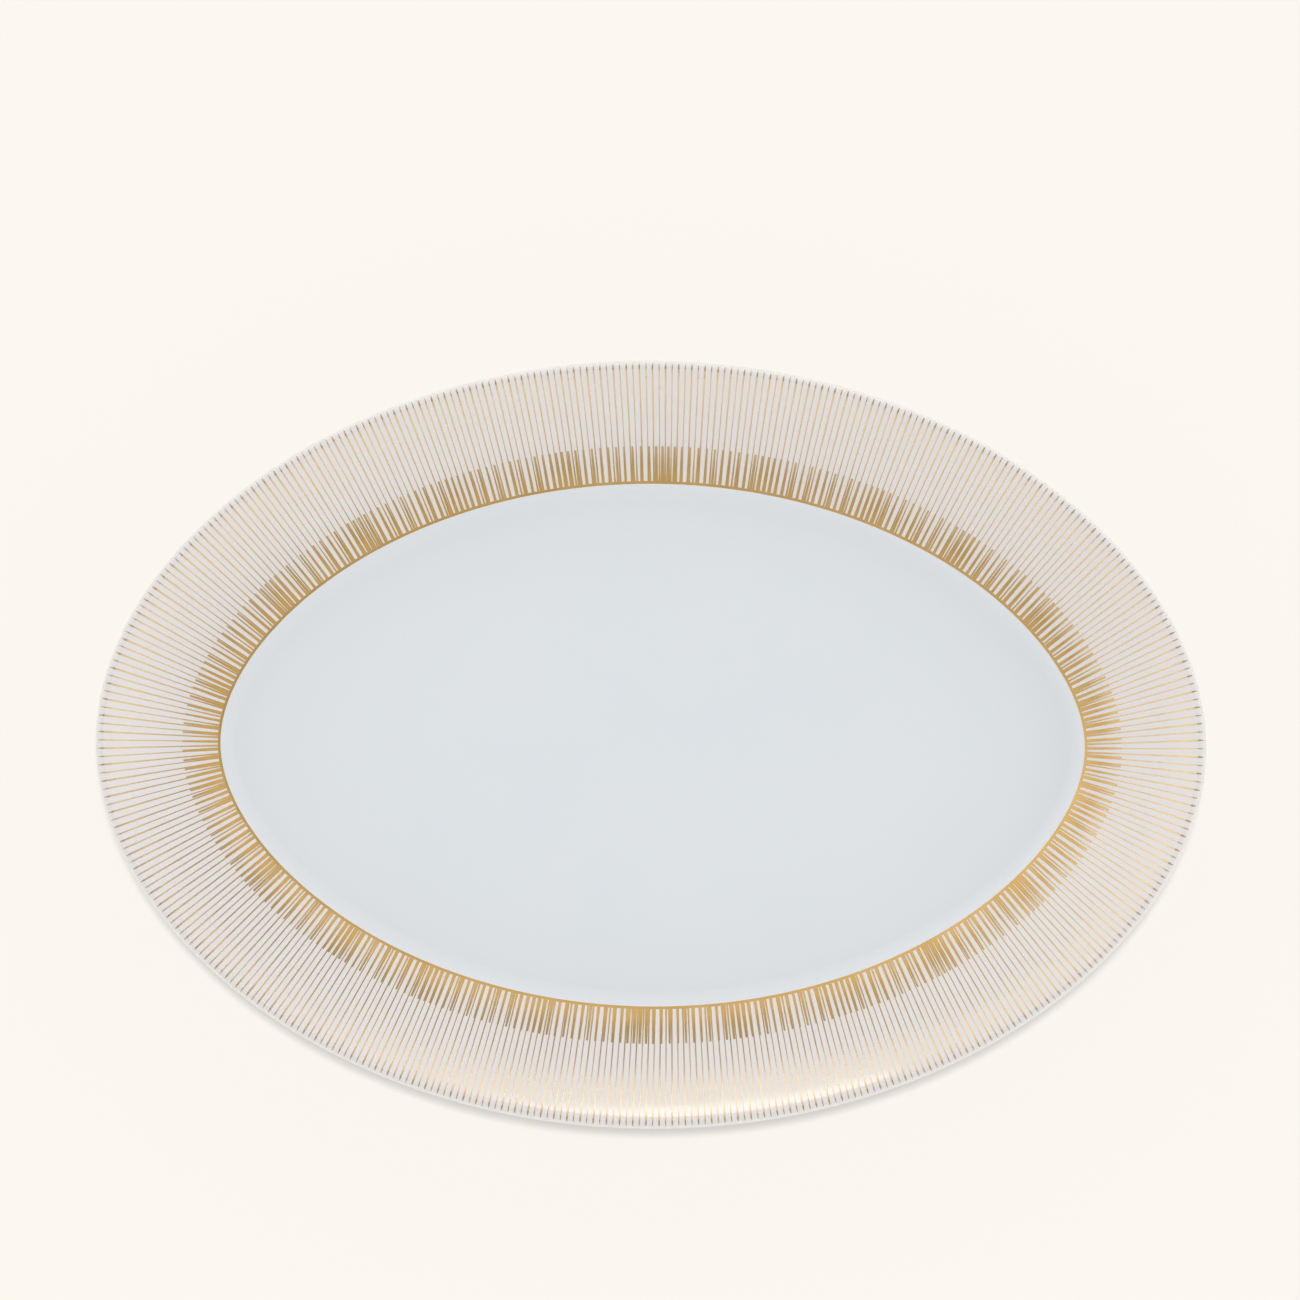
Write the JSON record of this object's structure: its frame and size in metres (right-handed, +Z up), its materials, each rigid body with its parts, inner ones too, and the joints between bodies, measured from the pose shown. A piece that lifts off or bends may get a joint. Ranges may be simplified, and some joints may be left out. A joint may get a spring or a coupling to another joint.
{
  "type": "oval serving platter",
  "caption": "Oval porcelain serving platter with a flat well, a wide upswept rim and fired gold rays, to carry and serve food.",
  "frame": {"origin": "on the resting plane under the foot ring, at the middle of the platter", "axes": "+X along the platter's length, +Y along its width, +Z up out of the well"},
  "size_m": [0.38, 0.2624, 0.026],
  "materials": {
    "bare_porcelain": "bare, smooth-ground white porcelain",
    "glaze": "glossy clear glaze on white porcelain",
    "fired_gold": "burnished fired gold"
  },
  "bodies": {
    "root": {"porcelain_body": "bare_porcelain", "face_glaze": "glaze", "back_glaze": "glaze", "recess_glaze": "glaze", "gold_well_line": "fired_gold", "gold_strong_rays": "fired_gold", "gold_fine_rays": "fired_gold", "gold_comb_strokes": "fired_gold"}
  },
  "joints": []
}
